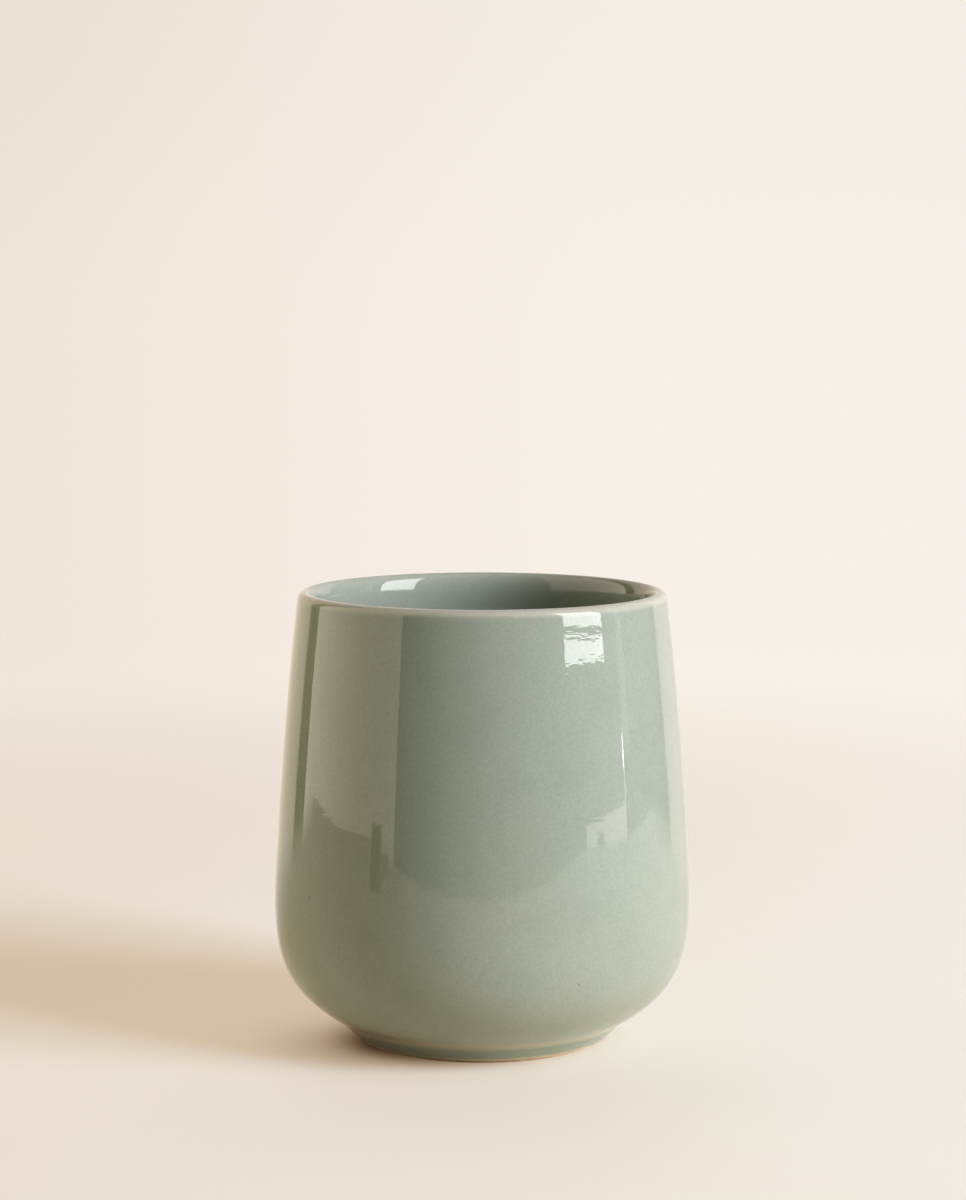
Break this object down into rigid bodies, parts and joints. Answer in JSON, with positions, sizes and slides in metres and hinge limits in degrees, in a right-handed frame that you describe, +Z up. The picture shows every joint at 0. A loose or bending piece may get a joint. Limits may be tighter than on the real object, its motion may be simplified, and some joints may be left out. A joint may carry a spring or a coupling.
{
  "type": "plant pot",
  "caption": "Round glazed stoneware cover pot with a soft full belly, a gently tapering wall, a thin rounded lip and a short turned foot ring.",
  "frame": {"origin": "centre of the foot ring's underside, on the surface that the pot stands on", "axes": "+Z up through the middle of the mouth; the pot is round, so +X and +Y are any two level directions at right angles"},
  "size_m": [0.15, 0.15, 0.162],
  "materials": {
    "fired_clay": "matt bare stoneware, warm buff",
    "outer_glaze": "glossy sage celadon, breaking to buff where thin",
    "liner_glaze": "glossy sage celadon, breaking to buff where thin",
    "recess_glaze": "glossy sage celadon"
  },
  "bodies": {
    "root": {"stoneware_body": "fired_clay", "outer_glaze": "outer_glaze", "liner_glaze": "liner_glaze", "foot_recess_glaze": "recess_glaze"}
  },
  "joints": []
}
